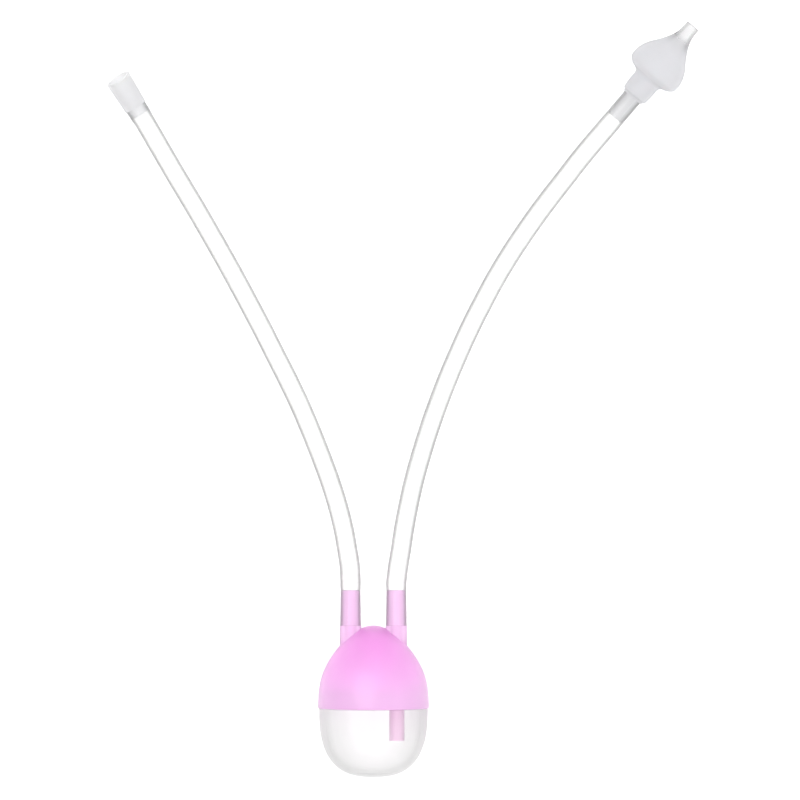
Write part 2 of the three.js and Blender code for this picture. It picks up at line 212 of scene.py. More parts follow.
def see_through(name, ior, roughness, transmission, shade):
    """A see-through finish and its Principled shader. shade tints the light it lets on."""
    material = bpy.data.materials.new(name)
    material.use_nodes = True
    nodes = material.node_tree.nodes
    links = material.node_tree.links
    shader = nodes["Principled BSDF"]
    shader.inputs["IOR"].default_value = ior
    shader.inputs["Roughness"].default_value = roughness
    shader.inputs["Transmission Weight"].default_value = transmission
    clear = nodes.new("ShaderNodeBsdfTransparent")
    clear.inputs["Color"].default_value = (*shade, 1)
    path = nodes.new("ShaderNodeLightPath")
    mix = nodes.new("ShaderNodeMixShader")
    links.new(path.outputs["Is Shadow Ray"], mix.inputs[0])
    links.new(shader.outputs[0], mix.inputs[1])
    links.new(clear.outputs[0], mix.inputs[2])
    links.new(mix.outputs[0], nodes["Material Output"].inputs["Surface"])
    return material, shader


def cloud(material, scale, detail=2.0, stretch=(1, 1, 1)):
    """A noise on object coordinates, as the socket of its value."""
    nodes = material.node_tree.nodes
    links = material.node_tree.links
    coordinates = nodes.new("ShaderNodeTexCoord")
    mapping = nodes.new("ShaderNodeMapping")
    mapping.inputs["Scale"].default_value = stretch
    noise = nodes.new("ShaderNodeTexNoise")
    noise.inputs["Scale"].default_value = scale
    noise.inputs["Detail"].default_value = detail
    links.new(coordinates.outputs["Object"], mapping.inputs["Vector"])
    links.new(mapping.outputs[0], noise.inputs["Vector"])
    return noise.outputs["Fac"]


def painted_edge_shade(material, stops):
    """Painted shade: a grey by how the surface is looked at, from straight on at 0 to glancing at 1, as a
    socket.
    """
    nodes = material.node_tree.nodes
    glance = nodes.new("ShaderNodeLayerWeight")
    glance.inputs["Blend"].default_value = 0.5
    ramp = nodes.new("ShaderNodeValToRGB")
    ramp.color_ramp.elements[0].position = stops[0][0]
    ramp.color_ramp.elements[1].position = stops[-1][0]
    for place, _ in stops[1:-1]:
        ramp.color_ramp.elements.new(place)
    for element, (_, grey) in zip(ramp.color_ramp.elements, stops):
        element.color = (grey, grey, grey, 1)
    feed(material, glance.outputs["Facing"], ramp.inputs["Fac"])
    return ramp.outputs["Color"]


def blended(material, kind, share, first, second):
    """Two colours blended as Blender's Mix node does, as a socket. A share may be a number or a socket."""
    node = material.node_tree.nodes.new("ShaderNodeMix")
    node.data_type = "RGBA"
    node.blend_type = kind
    for name, value in (("Factor", share), ("A", first), ("B", second)):
        if isinstance(value, bpy.types.NodeSocket):
            feed(material, value, node.inputs[name])
        else:
            node.inputs[name].default_value = value
    return node.outputs["Result"]


def glossy_skin(shader, weight):
    """A thin glossy skin, as a polished mould leaves."""
    shader.inputs["Coat Weight"].default_value = weight
    shader.inputs["Coat Roughness"].default_value = 0.06
    shader.inputs["Coat IOR"].default_value = 1.45


def ranged(material, value, low, high):
    """A value between 0 and 1 spread over a range, as a socket."""
    node = material.node_tree.nodes.new("ShaderNodeMapRange")
    node.inputs["To Min"].default_value = low
    node.inputs["To Max"].default_value = high
    feed(material, value, node.inputs["Value"])
    return node.outputs["Result"]


def tinted(material, value, low, high, begin=0.0, end=1.0):
    """A colour that runs from low to high as the value does, as a socket."""
    node = material.node_tree.nodes.new("ShaderNodeValToRGB")
    node.color_ramp.elements[0].position = begin
    node.color_ramp.elements[0].color = (*low, 1)
    node.color_ramp.elements[1].position = end
    node.color_ramp.elements[1].color = (*high, 1)
    feed(material, value, node.inputs["Fac"])
    return node.outputs["Color"]


def along(material, origin, axis, start, end):
    """How far a point lies along an axis from an origin: 0 at start and 1 at end, as a socket."""
    nodes = material.node_tree.nodes
    links = material.node_tree.links
    coordinates = nodes.new("ShaderNodeTexCoord")
    offset = nodes.new("ShaderNodeVectorMath")
    offset.operation = "SUBTRACT"
    offset.inputs[1].default_value = origin
    reach = nodes.new("ShaderNodeVectorMath")
    reach.operation = "DOT_PRODUCT"
    reach.inputs[1].default_value = axis
    share = nodes.new("ShaderNodeMapRange")
    share.interpolation_type = "SMOOTHSTEP"
    share.inputs["From Min"].default_value = start
    share.inputs["From Max"].default_value = end
    links.new(coordinates.outputs["Object"], offset.inputs[0])
    links.new(offset.outputs[0], reach.inputs[0])
    links.new(reach.outputs["Value"], share.inputs["Value"])
    return share.outputs["Result"]


def grained(material, shader, value, height):
    """The surface rises and falls with the value by a height in metres."""
    node = material.node_tree.nodes.new("ShaderNodeBump")
    node.inputs["Distance"].default_value = height
    feed(material, value, node.inputs["Height"])
    feed(material, node.outputs[0], shader.inputs["Normal"])


# %% Pink polypropylene
# The dome is deepest in colour at its crown and paler towards the joint. The paler part is
# painted light, standing in for light that comes through the translucent cap there, with a
# slight random tone on top. Its edges get painted shade where they are seen edge-on.
CROWN = 32.1 * MM

pink, pink_shader = see_through("pink_polypropylene", 1.49, 0.3, 0.5, (0.99, 0.95, 0.98))
pink_painted_light_share = along(pink, bottle_at, (0, 1, 0), 0, CROWN)
pink_sum = pink.node_tree.nodes.new("ShaderNodeMath")
feed(pink, pink_painted_light_share, pink_sum.inputs[0])
feed(pink, ranged(pink, cloud(pink, 60.0), -0.05, 0.05), pink_sum.inputs[1])
# Painted light: paler towards the joint, deeper at the crown.
pink_colour = tinted(pink, pink_sum.outputs[0], (0.985, 0.67, 0.965), (0.985, 0.50, 0.93), 0.05, 0.9)
# Painted shade: the dome darkens where it is seen edge-on.
pink_edge_shade = painted_edge_shade(pink, [(0.62, 1.0), (0.8, 0.9), (1.0, 0.68)])
pink_colour = blended(pink, "MULTIPLY", 1.0, pink_colour, pink_edge_shade)
feed(pink, pink_colour, pink_shader.inputs["Base Color"])
feed(pink, ranged(pink, cloud(pink, 400.0), 0.26, 0.36), pink_shader.inputs["Roughness"])
grained(pink, pink_shader, cloud(pink, 90.0), 0.00004)

# %% Thin pink polypropylene
# The spigots and the tubes have a wall of little more than a millimetre, and light comes
# through it from every side, so the same plastic is given a paler colour there: partly its
# thin wall, partly painted light. Their edges get painted shade where they are seen edge-on.
# The dip tube's part below the joint is seen through the cup, and a painted dimming there
# stands for what the cup takes from its colour.
pale, pale_shader = see_through("pink_polypropylene_thin", 1.2, 0.3, 0.45, (0.99, 0.95, 0.98))
pale_colour = tinted(pale, cloud(pale, 90.0), (0.955, 0.69, 0.93), (0.955, 0.73, 0.94))
# Painted shade: darker where the surface is seen edge-on.
pale_edge_shade = painted_edge_shade(pale, [(0.25, 1.0), (0.5, 0.9), (0.75, 0.74), (1.0, 0.6)])
pale_colour = blended(pale, "MULTIPLY", 1.0, pale_colour, pale_edge_shade)
above_joint = along(pale, bottle_at, (0, 1, 0), -0.002, 0.002)
# Painted dimming where the tube is seen through the cup.
through_cup_dimming = blended(pale, "MULTIPLY", 1.0, pale_colour, (0.93, 0.99, 0.90, 1))
pale_colour = blended(pale, "MIX", above_joint, through_cup_dimming, pale_colour)
feed(pale, pale_colour, pale_shader.inputs["Base Color"])


# %% Clear finishes
# Each clear wall has two sides. The outside carries a painted shade: a grey by the angle of
# view that stands for the grey edges of clear plastic. The inside is left clear, so that the
# wall is darkened only once.
def clear_pair(name, ior, shade, body, stops, wave):
    """A clear finish for the outside of a wall, and the same for its inside."""
    outside, outside_shader = see_through(name, ior, 0.06, 1.0, shade)
    thinner = tinted(outside, cloud(outside, wave), [0.985 * share for share in body], body)
    # Painted shade: the outside darkens where it is seen edge-on.
    edge = painted_edge_shade(outside, stops)
    feed(outside, blended(outside, "MULTIPLY", 1.0, thinner, edge), outside_shader.inputs["Base Color"])
    glossy_skin(outside_shader, 0.5)
    inside, inside_shader = see_through(name + "_inside", 1.001, 0.06, 1.0, shade)
    feed(inside, ranged(inside, cloud(inside, wave), 0.97, 1.0), inside_shader.inputs["Base Color"])
    for material, shader in ((outside, outside_shader), (inside, inside_shader)):
        roughness = ranged(material, cloud(material, 8 * wave), 0.04, 0.09)
        feed(material, roughness, shader.inputs["Roughness"])
    return outside, inside


# The cup's faint green tint is painted to cancel the pink light that bounces into it from the cap. The stops
# are the greys of the painted edge shade, strongest on the hose, whose walls show as dark lines.
clear, clear_inside = clear_pair(
    "clear_styrene", 1.03, (0.98, 0.98, 0.98), (0.98, 1.0, 0.98),
    [(0.06, 0.89), (0.15, 0.82), (0.3, 0.75), (0.52, 0.62), (1.0, 0.50)], 30.0,
)
vinyl, vinyl_inside = clear_pair(
    "clear_vinyl", 1.12, (0.985, 0.985, 0.985), (1.0, 1.0, 0.995),
    [(0.12, 0.96), (0.26, 0.78), (0.38, 0.43), (0.8, 0.35)], 40.0,
)


# %% Frosted polypropylene
def frosted_finish(name, low, high, rim):
    """A frosted finish, its shader and its colour: between two greys, with painted shade that makes it
    darkest at the rim.
    """
    material, shader = see_through(name, 1.49, 0.45, 0.45, (0.85, 0.85, 0.87))
    darkest, lightest = (low, low, low + 0.01), (high, high, high + 0.01)
    colour = tinted(material, cloud(material, 90.0), darkest, lightest)
    # Painted shade: darker where the surface is seen edge-on.
    edge = painted_edge_shade(material, [(0.5, 1.0), (1.0, rim)])
    colour = blended(material, "MULTIPLY", 1.0, colour, edge)
    feed(material, colour, shader.inputs["Base Color"])
    feed(material, ranged(material, cloud(material, 500.0), 0.4, 0.52), shader.inputs["Roughness"])
    grained(material, shader, cloud(material, 1500.0, 4.0), 0.00003)
    return material, shader, colour


frosted, _, _ = frosted_finish("frosted_polypropylene", 0.78, 0.84, 0.82)

# %% Frosted polypropylene of the mouthpiece
# The same plastic, clearer at the lip, where its wall is thin, with stronger painted shade where it is seen
# edge-on.
lip_frosted, lip_shader, lip_colour = frosted_finish("frosted_polypropylene_mouthpiece", 0.85, 0.90, 0.66)
lip_share = along(lip_frosted, mouth_place.translation, mouth_along, 0.006, 0.014)
lip_colour = blended(lip_frosted, "MIX", lip_share, lip_colour, (0.90, 0.90, 0.90, 1))
feed(lip_frosted, lip_colour, lip_shader.inputs["Base Color"])

# %% Milky silicone
# The bulb scatters the light; the thin spout in front of it lets it through. The bulb's edges
# get a little painted shade, and the spout's walls show as dark lines of painted shade, both
# by the angle of view.
milky, milky_shader = see_through("milky_silicone", 1.3, 0.5, 0.45, (0.82, 0.82, 0.85))
spout_share = along(milky, tip_place.translation, tip_along, 0.0235, 0.031)
bulb_colour = tinted(milky, cloud(milky, 70.0), (0.785, 0.785, 0.80), (0.835, 0.835, 0.85))
# Painted shade: darker where the surface is seen edge-on.
bulb_edge_shade = painted_edge_shade(milky, [(0.6, 1.0), (0.85, 0.93), (1.0, 0.8)])
bulb_colour = blended(milky, "MULTIPLY", 1.0, bulb_colour, bulb_edge_shade)
spout_edge_shade = painted_edge_shade(milky, [(0.08, 0.93), (0.2, 0.76), (0.35, 0.48), (1.0, 0.36)])
milky_colour = blended(milky, "MIX", spout_share, bulb_colour, spout_edge_shade)
feed(milky, milky_colour, milky_shader.inputs["Base Color"])
feed(milky, ranged(milky, spout_share, 0.45, 0.95), milky_shader.inputs["Transmission Weight"])
feed(milky, ranged(milky, spout_share, 0.5, 0.0), milky_shader.inputs["Subsurface Weight"])
milky_rough = milky.node_tree.nodes.new("ShaderNodeMath")
milky_rough.operation = "SUBTRACT"
feed(milky, ranged(milky, cloud(milky, 500.0), 0.45, 0.58), milky_rough.inputs[0])
feed(milky, ranged(milky, spout_share, 0.0, 0.35), milky_rough.inputs[1])
feed(milky, milky_rough.outputs[0], milky_shader.inputs["Roughness"])
milky_shader.inputs["Subsurface Radius"].default_value = (1.0, 0.9, 0.9)
milky_shader.inputs["Subsurface Scale"].default_value = 0.003
milky_inside, _ = see_through("milky_silicone_inside", 1.001, 0.3, 1.0, (0.95, 0.95, 0.95))
print("finishes:", [m.name for m in bpy.data.materials])

# %% [markdown]
# ## Turned pieces
#
# Apart from the hoses, every piece is round. Such a piece is half of its cross-section spun
# about its axis. The section is drawn as a few points and curves in (radius, along) pairs,
# and the Spin operator makes the body. The section of a hollow piece is a closed loop, so
# the wall has its real thickness everywhere.

# %% Tools for sections
SPIN_MERGE = 1e-7


def curve_through(points, per_span):
    """Points on a smooth line that goes through the given ones."""
    points = [Vector((*p, 0)) if len(p) == 2 else Vector(p) for p in points]
    tangents = []
    for i in range(len(points)):
        before = points[max(i - 1, 0)]
        after = points[min(i + 1, len(points) - 1)]
        tangents.append((after - before).normalized())
    line = [points[0]]
    for a, b, ta, tb in zip(points, points[1:], tangents, tangents[1:]):
        reach = (b - a).length / 3
        line += interpolate_bezier(a, a + ta * reach, b - tb * reach, b, per_span + 1)[1:]
    return line


def flat(points):
    """The same points as (radius, along) pairs."""
    return [(p[0], p[1]) for p in points]


def rounded(before, corner, after, radius, steps=4):
    """A corner of a section, rounded off with a soft curve."""
    before, corner, after = (Vector((*p, 0)) for p in (before, corner, after))
    start = corner + (before - corner).normalized() * radius
    end = corner + (after - corner).normalized() * radius
    return flat(interpolate_bezier(start, start.lerp(corner, 0.55), end.lerp(corner, 0.55), end, steps + 1))


def soft_section(corners, radius):
    """A closed section with every corner rounded off."""
    loop = []
    for i, corner in enumerate(corners):
        loop += rounded(corners[i - 1], corner, corners[(i + 1) % len(corners)], radius)
    return loop


def spun(section, steps, closed):
    """A bmesh of the section, in (radius, along) pairs in metres, spun about Y."""
    bm = bmesh.new()
    verts = [bm.verts.new((radius, along, 0)) for radius, along in section]
    edges = [bm.edges.new(pair) for pair in zip(verts, verts[1:])]
    if closed:
        edges.append(bm.edges.new((verts[-1], verts[0])))
    bmesh.ops.spin(
        bm, geom=verts + edges, cent=(0, 0, 0), axis=(0, 1, 0), angle=2 * math.pi, steps=steps,
        use_merge=True,
    )
    bmesh.ops.remove_doubles(bm, verts=bm.verts, dist=SPIN_MERGE)
    bmesh.ops.recalc_face_normals(bm, faces=bm.faces)
    return bm


def as_piece(bm, name, place, material, crease_angle=35):
    """A finished object from a bmesh, with its place in its mesh, smooth but for real edges."""
    bm.transform(place)
    mesh = bpy.data.meshes.new(name)
    bm.to_mesh(mesh)
    bm.free()
    mesh.polygons.foreach_set("use_smooth", [True] * len(mesh.polygons))
    mesh.set_sharp_from_angle(angle=math.radians(crease_angle))
    mesh.materials.append(material)
    piece = bpy.data.objects.new(name, mesh)
    bpy.context.collection.objects.link(piece)
    print(name, "faces:", len(mesh.polygons))
    return piece


def in_mm(pairs):
    """(radius, along) pairs written in millimetres, in metres."""
    return [(radius * MM, along * MM) for radius, along in pairs]


# %% [markdown]
# ## Hoses
#
# Two lengths of soft clear tube. Each is pushed over a spigot of the cap, which stretches it
# wider, droops under its own weight to the table, and ends stretched over the stem of the
# adapter or of the mouthpiece. The route is the one that the CAD model has: straight off
# the spigot, down, and then along the table.
#
# A hose could be a curve with a round bevel, but a bevel has no wall. Here a ring of
# vertices is extruded along the outside of the route to the far end, turned in over the cut
# edge and extruded back along the bore, and the last two rings are bridged.

# %% Routes
SPIGOT_X = 8.85
SPIGOT_ROOT_TOP, SPIGOT_TOP, SPIGOT_SLEEVE_END = 32.1, 45.8, 49.0
FACE_GAP, FIT_GAP, CLING = 0.02, 0.15, -0.06
HOSE_R, HOSE_BORE_R, STRETCH_WALL = 4.0, 3.2, 0.75
SLEEVE_NECK = 3.0
SPIGOT_BASE_R, SPIGOT_TIP_R, SPIGOT_CHAMFER = 3.4, 3.2, 0.8
ADAPTER_STEM, ADAPTER_STEM_R, ADAPTER_COLLAR = 10.5, 3.2, 1.0
MOUTH_STEM, MOUTH_STEM_R = 3.4, 3.5
BODY_HEIGHT = 21.5

MOUTH_HOSE_ROUTE = [
    (-9.15, 55, 21.3), (-10.05, 61, 20.6), (-11.6, 69.5, 18.9), (-14.0, 79, 16.6), (-17.05, 88.5, 13.7),
    (-20.6, 98, 10.8), (-24.6, 108, 8.1), (-28.9, 118, 6.0), (-33.7, 128, 4.7), (-38.5, 137.5, 4.2),
    (-43.3, 147, 4.05), (-48.3, 156.5, 4.05), (-53.65, 166.5, 4.05), (-58.9, 176, 4.05), (-64.3, 185.5, 4.05),
    (-69.8, 195, 4.05), (-75.5, 204.5, 4.1), (-81.35, 214.5, 4.2),
]
NOSE_HOSE_ROUTE = [
    (9.6, 55, 21.3), (10.6, 61, 20.6), (11.9, 69.5, 18.9), (13.7, 79, 16.6), (15.85, 88.5, 13.7),
    (18.5, 98, 10.8), (21.6, 108, 8.1), (25.1, 118, 6.0), (28.95, 128, 4.7), (33.0, 137.5, 4.2),
    (37.3, 147, 4.05), (42.05, 156.5, 4.05), (47.4, 166.5, 4.05), (53.1, 176, 4.15), (59.4, 185.5, 4.4),
    (66.2, 195, 5.0), (73.7, 204.7, 6.0), (81.5, 214.7, 7.2),
]


# %% Hose stations
def straight(start, end, count):
    """Points from start to end, both included."""
    return [start.lerp(end, i / count) for i in range(count + 1)]


def hose_line(side, route, cut_end, along, sleeve):
    """The hose's middle line: straight on the spigot, the route, straight on the far stem."""
    near = from_bottle(side * SPIGOT_X, SPIGOT_ROOT_TOP + FACE_GAP, BODY_HEIGHT)
    leave = from_bottle(side * SPIGOT_X, SPIGOT_SLEEVE_END, BODY_HEIGHT)
    arrive = cut_end - along * sleeve * MM
    bend = curve_through([leave, *(from_bottle(*p) for p in route), arrive], 8)
    return straight(near, leave, 16) + bend[1:] + straight(arrive, cut_end, 12)[1:]


def eased(share):
    """0 to 1 with a soft start and end."""
    share = min(max(share, 0.0), 1.0)
    return share * share * (3 - 2 * share)


def hose_radius(from_near, from_far, sleeve, stem_r, natural, wall):
    """Radius at a place: natural, or stretched over the spigot or the stem. Lengths in mm."""
    spigot = SPIGOT_TOP - SPIGOT_ROOT_TOP - SPIGOT_CHAMFER
    covered = SPIGOT_BASE_R + (SPIGOT_TIP_R - SPIGOT_BASE_R) * min(from_near / spigot, 1)
    near = (covered + CLING + wall - natural) * (1 - eased((from_near - spigot) / SLEEVE_NECK))
    far = (stem_r + CLING + wall - natural) * (1 - eased((from_far - sleeve + SLEEVE_NECK) / SLEEVE_NECK))
    return natural + near + far


# %% Hose body
HOSE_SIDES = 64


def hose_body(line, outer, inner):
    """A bmesh tube with a wall: rings extruded out along the line and back along the bore."""
    stations = [(p, r) for p, r in zip(line, outer)] + [(p, r) for p, r in zip(line[::-1], inner[::-1])]
    tangents = [(b - a).normalized() for a, b in zip(line, line[1:])]
    between = [(a + b).normalized() for a, b in zip(tangents, tangents[1:])]
    tangents = [tangents[0]] + between + [tangents[-1]]
    turns = [Vector((0, 0, 1)).rotation_difference(tangents[0])]
    for before, after in zip(tangents, tangents[1:]):
        turns.append(before.rotation_difference(after) @ turns[-1])
    turns += turns[::-1]
    places = [
        Matrix.Translation(point) @ turn.to_matrix().to_4x4() @ Matrix.Scale(radius * MM, 4)
        for (point, radius), turn in zip(stations, turns)
    ]
    bm = bmesh.new()
    ring = bmesh.ops.create_circle(bm, segments=HOSE_SIDES, radius=1)["verts"]
    first = list({edge for vert in ring for edge in vert.link_edges})
    bmesh.ops.transform(bm, matrix=places[0], verts=ring)
    edges = first
    for i, (before, after) in enumerate(zip(places, places[1:])):
        grown = bmesh.ops.extrude_edge_only(bm, edges=edges)["geom"]
        for face in (g for g in grown if isinstance(g, bmesh.types.BMFace)):
            face.material_index = 1 if i >= len(line) - 1 else 0
        verts = [g for g in grown if isinstance(g, bmesh.types.BMVert)]
        edges = [g for g in grown if isinstance(g, bmesh.types.BMEdge)]
        bmesh.ops.transform(bm, matrix=after @ before.inverted(), verts=verts)
    for face in bmesh.ops.bridge_loops(bm, edges=edges + first)["faces"]:
        face.material_index = 1
    bmesh.ops.recalc_face_normals(bm, faces=bm.faces)
    return bm


def make_hose(name, node, side, route, cut_end, along, stem, stem_r):
    """A hose as a finished piece, attached to its body in place of the CAD part."""
    sleeve = stem + SLEEVE_NECK
    line = hose_line(side, route, cut_end, along, sleeve)
    steps = [(b - a).length for a, b in zip(line, line[1:])]
    length = sum(steps)
    travelled = [sum(steps[:i]) for i in range(len(line))]
    ends = [(t / MM, (length - t) / MM) for t in travelled]
    outer = [hose_radius(near, far, sleeve, stem_r, HOSE_R, STRETCH_WALL) for near, far in ends]
    inner = [hose_radius(near, far, sleeve, stem_r, HOSE_BORE_R, 0) for near, far in ends]
    hose = as_piece(hose_body(line, outer, inner), name, Matrix(), vinyl, crease_angle=50)
    hose.data.materials.append(vinyl_inside)
    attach(hose, node)
    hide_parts(node)
    print(name, "length, mm:", round(length / MM, 1))
    return hose


# %% The two hoses
nose_cut = tip_place.translation - tip_along * (ADAPTER_COLLAR + FACE_GAP) * MM
mouth_cut = mouth_place.translation - mouth_along * FACE_GAP * MM
make_hose(
    "nose_hose_tube", "nose_hose", 1, NOSE_HOSE_ROUTE, nose_cut, tip_along, ADAPTER_STEM, ADAPTER_STEM_R
)
make_hose(
    "mouth_hose_tube", "mouth_hose", -1, MOUTH_HOSE_ROUTE, mouth_cut, mouth_along, MOUTH_STEM, MOUTH_STEM_R
)

# %% [markdown]
# ## Cap
#
# The pink cap is one moulding: a dome with a skirt that takes the cup's neck, two spigots for
# the hoses, and inside it a short tube under one spigot and a long dip tube under the other.
# Nothing about it is round except its parts, so it can't be spun in one go. Each part is spun
# by itself, and the Boolean modifier joins and cuts them in the order of a mould: the full
# outside, minus the hollow, plus the inner tubes, minus the bores.

# %% Boolean tool
def combined(base, tool, operation):
    """The mesh of base after a boolean with tool. Both are used up."""
    modifier = base.modifiers.new(operation, "BOOLEAN")
    modifier.operation = operation
    modifier.solver = "EXACT"
    modifier.object = tool
    graph = bpy.context.evaluated_depsgraph_get()
    mesh = bpy.data.meshes.new_from_object(base.evaluated_get(graph))
    base.modifiers.clear()
    base.data = mesh
    bpy.data.objects.remove(tool)
    return base


def loose(bm, x=0.0):
    """A plain object from a bmesh, moved sideways, for use in a boolean."""
    bm.transform(Matrix.Translation((x * MM, 0, 0)))
    mesh = bpy.data.meshes.new("boolean_part")
    bm.to_mesh(mesh)
    bm.free()
    part = bpy.data.objects.new("boolean_part", mesh)
    bpy.context.collection.objects.link(part)
    return part


# %% Cap sections
CAP_H, CAP_WALL = 32.1, 1.7
SKIRT_BORE_R, SKIRT_H = 19.7, 7.2
SPIGOT_ROOT_R, SPIGOT_BORE_R, INNER_TUBE_R = 4.15, 1.9, 2.85
DIP_TUBE_END, STUB_END, INNER_TUBE_TOP = -12.4, 17.0, 30.5
DOME_STEPS, ROUND_STEPS, SMALL_ROUND_STEPS = 24, 128, 48
BOOLEAN_MERGE, FINISH_MARGIN = 1e-6, 0.02


# The outline is steep up to the shoulder, with a flatter crown on top.
SHOULDER = (16.3, 20.07)
DOME_PARTS = [
    ((21.5, 0), (21.5, 10.5), (19.63, 15.08), SHOULDER),
    (SHOULDER, (13.75, 23.9), (7.5, CAP_H), (0, CAP_H)),
]


def dome_curve(wall):
    """The dome's outline from the joint to the crown, moved inwards by a wall, in mm."""
    line = []
    for part in DOME_PARTS:
        line += interpolate_bezier(*(Vector((*knot, 0)) for knot in part), DOME_STEPS + 1)[len(line) > 0 :]
    moved = []
    for i, point in enumerate(line):
        run = (line[min(i + 1, len(line) - 1)] - line[max(i - 1, 0)]).normalized()
        moved.append((point.x - run.y * wall, point.y + run.x * wall))
    moved[-1] = (0, CAP_H - wall)
    return moved


edge_soft = rounded((0, 0), (21.5, 0), (21.5, 2), 0.45)
outside_section = [(0, 0)] + edge_soft + [p for p in dome_curve(0) if p[1] > 0.5]
vault = [p for p in dome_curve(CAP_WALL) if p[1] > SKIRT_H + 0.6]
hollow_section = [(0, -1), (SKIRT_BORE_R + 0.3, -1), (SKIRT_BORE_R + 0.3, 0), (SKIRT_BORE_R, 0.5),
                  (SKIRT_BORE_R, SKIRT_H), (vault[0][0], SKIRT_H), *vault]
spigot_section = [
    (0, 15),
    (SPIGOT_ROOT_R, 15),
    *rounded((SPIGOT_ROOT_R, 15), (SPIGOT_ROOT_R, SPIGOT_ROOT_TOP), (SPIGOT_BASE_R, SPIGOT_ROOT_TOP), 0.12),
    (SPIGOT_BASE_R, SPIGOT_ROOT_TOP),
    (SPIGOT_TIP_R, SPIGOT_TOP - SPIGOT_CHAMFER),
    *rounded((SPIGOT_TIP_R, SPIGOT_TOP - 1), (SPIGOT_TIP_R, SPIGOT_TOP), (0, SPIGOT_TOP), 0.5),
    (0, SPIGOT_TOP),
]


def rod(radius, low, high):
    """A spun rod from low to high, in mm."""
    return spun(in_mm([(0, low), (radius, low), (radius, high), (0, high)]), SMALL_ROUND_STEPS, False)


# %% Cap body
cap_body = loose(spun(in_mm(outside_section), ROUND_STEPS, False))
for x in (-SPIGOT_X, SPIGOT_X):
    combined(cap_body, loose(spun(in_mm(spigot_section), SMALL_ROUND_STEPS, False), x), "UNION")
combined(cap_body, loose(spun(in_mm(hollow_section), ROUND_STEPS, False)), "DIFFERENCE")
for x, end in ((-SPIGOT_X, STUB_END), (SPIGOT_X, DIP_TUBE_END)):
    combined(cap_body, loose(rod(INNER_TUBE_R, end, INNER_TUBE_TOP), x), "UNION")
    combined(cap_body, loose(rod(SPIGOT_BORE_R, end - 1, SPIGOT_TOP + 1), x), "DIFFERENCE")

cap_bm = bmesh.new()
cap_bm.from_mesh(cap_body.data)
bpy.data.objects.remove(cap_body)
bmesh.ops.remove_doubles(cap_bm, verts=cap_bm.verts, dist=BOOLEAN_MERGE)
open_edges = [e for e in cap_bm.edges if len(e.link_faces) != 2]
print("cap edges that don't join two faces:", len(open_edges))
for face in cap_bm.faces:
    middle = face.calc_center_median()
    from_axis = math.hypot(abs(middle.x) - SPIGOT_X * MM, middle.z)
    face.material_index = 1 if from_axis < (SPIGOT_ROOT_R + FINISH_MARGIN) * MM else 0
cap = as_piece(cap_bm, "cap_moulding", bottle_place, pink, crease_angle=32)
cap.data.materials.append(pale)
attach(cap, "cap")
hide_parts("cap")

# %% [markdown]
# ## Collection cup
#
# A clear round-bottomed cup that catches what is sucked out. Its neck goes up inside the cap
# and carries the seal ring in a groove. The outside is a superellipse, which is a little
# squarer than a half ball, and ends in a small flat that the bottle can stand on. Its wall is
# thick, and the grey bands at its edges are painted shade, darker where it is seen edge-on.

# %% Cup
CUP_R, CUP_H, CUP_WALL = 21.15, 26.6, 1.8
CUP_POWER, CUP_FULL_DEPTH, HOLLOW_POWER = 2.65, 26.75, 3.2
NECK_R, NECK_BORE_R, NECK_H = 19.4, 17.8, 6.5
SEAL_Y, SEAL_GROOVE_H, SEAL_GROOVE_R = 3.4, 1.8, 18.6
JOINT_GAP = 0.08
CUP_STEPS, CUP_MIDDLE_Y = 40, -8


def superellipse(radius, depth, full_depth, power):
    """Radius at a depth below the joint."""
    share = min(1.0, (depth / full_depth) ** power)
    return radius * (1 - share) ** (1 / power)


def depth_at(i, deepest):
    """Depths that crowd together where the bottom turns in."""
    return deepest * math.sin(i / CUP_STEPS * math.pi / 2)


cup_floor = CUP_H - CUP_WALL
groove = (SEAL_Y - SEAL_GROOVE_H / 2, SEAL_Y + SEAL_GROOVE_H / 2)
outside_cup = [
    (superellipse(CUP_R, depth_at(i, CUP_H), CUP_FULL_DEPTH, CUP_POWER), -depth_at(i, CUP_H))
    for i in range(CUP_STEPS, 0, -1)
]
outside_cup = [p for p in outside_cup if p[1] < -JOINT_GAP - 0.5]
inside_cup = [
    (superellipse(NECK_BORE_R, depth_at(i, cup_floor), cup_floor, HOLLOW_POWER), -depth_at(i, cup_floor))
    for i in range(1, CUP_STEPS)
]
cup_section = [
    (0, -CUP_H),
    *outside_cup,
    *rounded((CUP_R, -2), (CUP_R, -JOINT_GAP), (NECK_R, -JOINT_GAP), 0.45),
    (NECK_R, -JOINT_GAP),
    (NECK_R, groove[0]), (SEAL_GROOVE_R, groove[0]), (SEAL_GROOVE_R, groove[1]), (NECK_R, groove[1]),
    *rounded((NECK_R, groove[1]), (NECK_R, NECK_H), (NECK_BORE_R, NECK_H), 0.5),
    *rounded((NECK_R, NECK_H), (NECK_BORE_R, NECK_H), (NECK_BORE_R, 0), 0.4),
    *inside_cup,
    (0, -cup_floor),
]
cup_bm = spun(in_mm(cup_section), ROUND_STEPS, False)
cup_middle = Vector((0, CUP_MIDDLE_Y * MM, 0))
for face in cup_bm.faces:
    faces_in = face.normal.dot(face.calc_center_median() - cup_middle) < 0
    face.material_index = 1 if faces_in else 0
cup = as_piece(cup_bm, "catch_cup", bottle_place, clear)
cup.data.materials.append(clear_inside)
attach(cup, "cup")
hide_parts("collection_cup")

